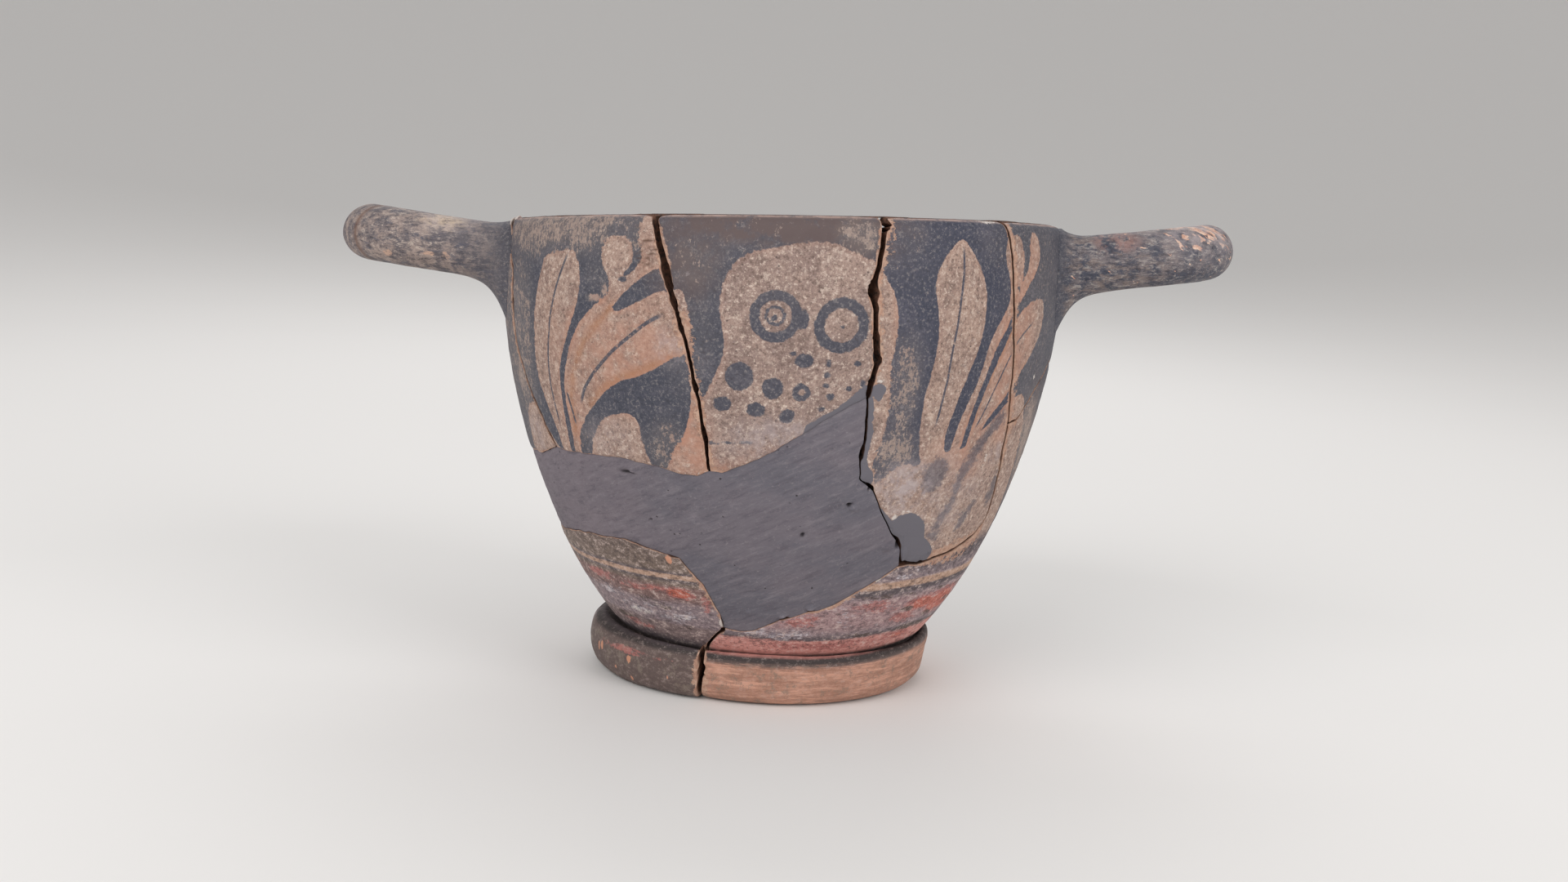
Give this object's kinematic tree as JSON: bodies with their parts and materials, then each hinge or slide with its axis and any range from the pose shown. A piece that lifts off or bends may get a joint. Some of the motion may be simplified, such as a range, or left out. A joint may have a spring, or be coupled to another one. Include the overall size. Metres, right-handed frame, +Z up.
{
  "type": "skyphos",
  "caption": "Small deep footed drinking cup with horizontal loop handles, mended from sherds with a plaster fill, hollow and open at the top.",
  "frame": {"origin": "middle of the overall width and depth, at the height of the ground the foot stands on", "axes": "+Z up out of the mouth; +X from the mouth's middle towards the higher, right-hand handle; -Y towards the painted owl"},
  "size_m": [0.1625, 0.1014, 0.0868],
  "materials": {
    "left_handle_sherd": "worn dark gloss, matt inside the wear",
    "left_leaf_sherd": "reserved clay leaves on worn dark gloss",
    "owl_sherd": "reserved clay owl on worn dark gloss",
    "right_leaf_sherd": "reserved clay leaves on worn dark gloss",
    "right_handle_sherd": "worn dark gloss with leaves near the crack",
    "left_foot_sherd": "worn dark and red gloss with pale deposits",
    "right_foot_sherd": "bare fired clay below, worn red and dark gloss above",
    "grey_fill": "matt brushed plaster, retouched purple grey"
  },
  "bodies": {
    "root": {"left_handle_sherd": "left_handle_sherd", "left_leaf_sherd": "left_leaf_sherd", "owl_sherd": "owl_sherd", "right_leaf_sherd": "right_leaf_sherd", "right_handle_sherd": "right_handle_sherd", "left_foot_sherd": "left_foot_sherd", "right_foot_sherd": "right_foot_sherd", "grey_fill": "grey_fill"}
  },
  "joints": []
}
